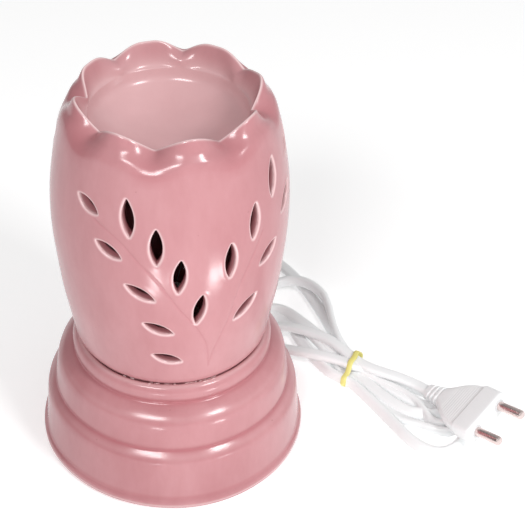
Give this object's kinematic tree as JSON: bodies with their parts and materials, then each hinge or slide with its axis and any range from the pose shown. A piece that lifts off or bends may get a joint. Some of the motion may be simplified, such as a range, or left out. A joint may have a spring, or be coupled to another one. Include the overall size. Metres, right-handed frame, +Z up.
{
  "type": "electric ceramic wax warmer",
  "caption": "Table-top ceramic warmer: a pierced tulip shade with a dish in its top, over a small screw-in bulb on a stepped stand, with a bundled mains lead.",
  "frame": {"origin": "on the surface that the warmer stands on, on the axis of the stand, shade, lamp holder and bulb", "axes": "+Z up along the axis; -Y to the front, the side with the leaf spray that the picture shows; the lead leaves towards +X and +Y"},
  "size_m": [0.2533, 0.2185, 0.2087],
  "materials": {
    "pink_glaze": "gloss",
    "white_holder_plastic": "satin",
    "black_plastic": "matte",
    "rubber": "matte",
    "steatite": "matte",
    "brass": "satin",
    "steel": "satin",
    "nickel_plate": "gloss",
    "solder": "satin",
    "clear_glass": "gloss",
    "white_pvc": "satin",
    "yellow_band": "satin",
    "wire_live": "satin",
    "wire_neutral": "satin"
  },
  "bodies": {
    "base": {"base_stand": "pink_glaze", "bottom_cover": "black_plastic", "foot_1": "rubber", "foot_2": "rubber", "foot_3": "rubber", "foot_4": "rubber", "holder_dome": "white_holder_plastic", "holder_skirt": "white_holder_plastic", "holder_ring_upper": "white_holder_plastic", "holder_ring_lower": "white_holder_plastic", "holder_core": "steatite", "screw_shell": "brass", "centre_contact": "brass", "terminal_live": "brass", "terminal_neutral": "brass", "terminal_screw_live": "steel", "terminal_screw_neutral": "steel", "wire_live": "wire_live", "wire_neutral": "wire_neutral", "cord_inner": "white_pvc", "strain_relief": "white_pvc", "cord_lead": "white_pvc", "cord_hank": "white_pvc", "cord_loops": "white_pvc", "cord_tail": "white_pvc", "cord_band": "yellow_band", "plug_body": "white_pvc", "plug_pin_1": "nickel_plate", "plug_pin_2": "nickel_plate"},
    "shade": {"tulip_shade": "pink_glaze"},
    "bulb_carrier": {"bulb_contact": "solder"},
    "bulb": {"bulb_glass": "clear_glass", "bulb_cap": "brass", "bulb_insulator": "black_plastic", "bulb_stem": "clear_glass", "bulb_filament": "steel"}
  },
  "joints": [
    {"name": "shade_lift", "type": "slide", "parent": "base", "child": "shade", "axis": [0, 0, 1], "range_m": [0, 0.1]},
    {"name": "bulb_advance", "type": "slide", "parent": "base", "child": "bulb_carrier", "axis": [0, 0, 1], "range_m": [0, 0.01693]},
    {"name": "bulb_turn", "type": "hinge", "parent": "bulb_carrier", "child": "bulb", "pos_m": [0, 0, 0.06], "axis": [0, 0, 1], "range_deg": [0, 2160]}
  ],
  "couplings": [
    {"joint": "bulb_advance", "follows": "bulb_turn", "m_per_rad": 0.00044882}
  ]
}
